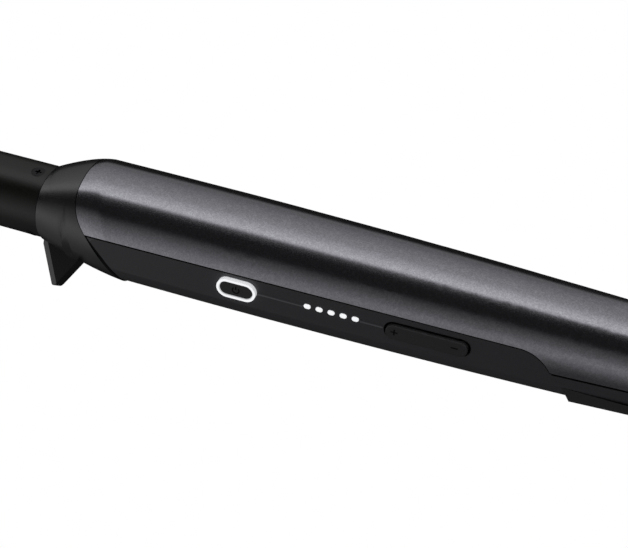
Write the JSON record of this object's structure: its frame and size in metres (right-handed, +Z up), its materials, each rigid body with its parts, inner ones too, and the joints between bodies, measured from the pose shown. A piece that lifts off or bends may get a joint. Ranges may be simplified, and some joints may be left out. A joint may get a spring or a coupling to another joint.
{
  "type": "curling iron",
  "caption": "Clipless curling iron: a round heated barrel, a flared collar with a stand fin, a slim handle with a lit power button, lamps and a heat rocker, and a swivel cord gland.",
  "frame": {"origin": "middle of the overall box in plan, on the surface the iron rests on", "axes": "+X from the barrel's cool tip to the cord end; +Z up; the control flank looks towards -Y and down"},
  "size_m": [0.3674, 0.0342, 0.0437],
  "materials": {
    "barrel_coating": "satin olive-black coating on an aluminium tube",
    "tip_plastic": "satin heat-resistant plastic",
    "dark_steel": "blackened steel",
    "aluminium": "extruded",
    "ceramic": "fired, unglazed",
    "sensor_glass": "clear bead",
    "fuse_can": "drawn can",
    "heat_plastic": "glass-filled",
    "collar_plastic": "satin moulded",
    "metallic_paint": "gunmetal metallic, semi-gloss",
    "black_plastic": "satin moulded",
    "soft_rubber": "matt",
    "board_laminate": "solder mask",
    "steel": "plated",
    "component_black": "moulded",
    "lamp_white": "white package",
    "capacitor_yellow": "boxed film",
    "can_sleeve": "shrunk sleeve",
    "wire_sleeve": "glass-braid sleeve",
    "wire_cover": "smooth",
    "contact_brass": "bright",
    "lit_plastic": "white light-guide plastic",
    "button_plastic": "satin moulded",
    "gland_plastic": "satin moulded"
  },
  "bodies": {
    "handle": {"barrel": "barrel_coating", "barrel_tip": "tip_plastic", "barrel_screws": "dark_steel", "front_collar": "collar_plastic", "upper_shell": "metallic_paint", "lower_shell": "black_plastic", "rest_pad": "soft_rubber", "rear_cap": "black_plastic", "shell_screws": "dark_steel", "power_ring": "lit_plastic", "lamp_guide": "lit_plastic", "rocker_pin": "steel", "barrel_holder": "heat_plastic", "clamp_ring": "heat_plastic", "heat_spreader_upper": "aluminium", "heat_spreader_lower": "aluminium", "heater_plate": "ceramic", "temperature_sensor": "sensor_glass", "thermal_fuse": "fuse_can", "heater_leads": "wire_sleeve", "control_board": "board_laminate", "board_screws": "steel", "power_switch": "component_black", "heat_switches": "component_black", "lamp_chips": "lamp_white", "controller_chip": "component_black", "triac": "component_black", "filter_capacitor": "capacitor_yellow", "smoothing_capacitor": "can_sleeve", "mains_leads": "wire_cover", "contact_block": "heat_plastic", "contact_springs": "contact_brass"},
    "power_button": {"power_button": "button_plastic"},
    "heat_rocker": {"heat_rocker": "button_plastic"},
    "swivel": {"swivel_gland": "gland_plastic", "swivel_clip": "steel", "slip_rings": "contact_brass"}
  },
  "joints": [
    {"name": "power_press", "type": "slide", "parent": "handle", "child": "power_button", "axis": [0.016, 0.7879, 0.6156], "range_m": [0, 0.0005], "stiffness_N_per_m": 900},
    {"name": "heat_rock", "type": "hinge", "parent": "handle", "child": "heat_rocker", "pos_m": [0.10302, -0.00909, 0.01042], "axis": [0.0431, -0.6157, 0.7868], "range_deg": [-3.5, 3.5], "stiffness_Nm_per_rad": 0.05},
    {"name": "cord_swivel", "type": "hinge", "parent": "handle", "child": "swivel", "pos_m": [0.16599, 0, 0.01409], "axis": [0.9985, 0, -0.0547], "continuous": true}
  ]
}
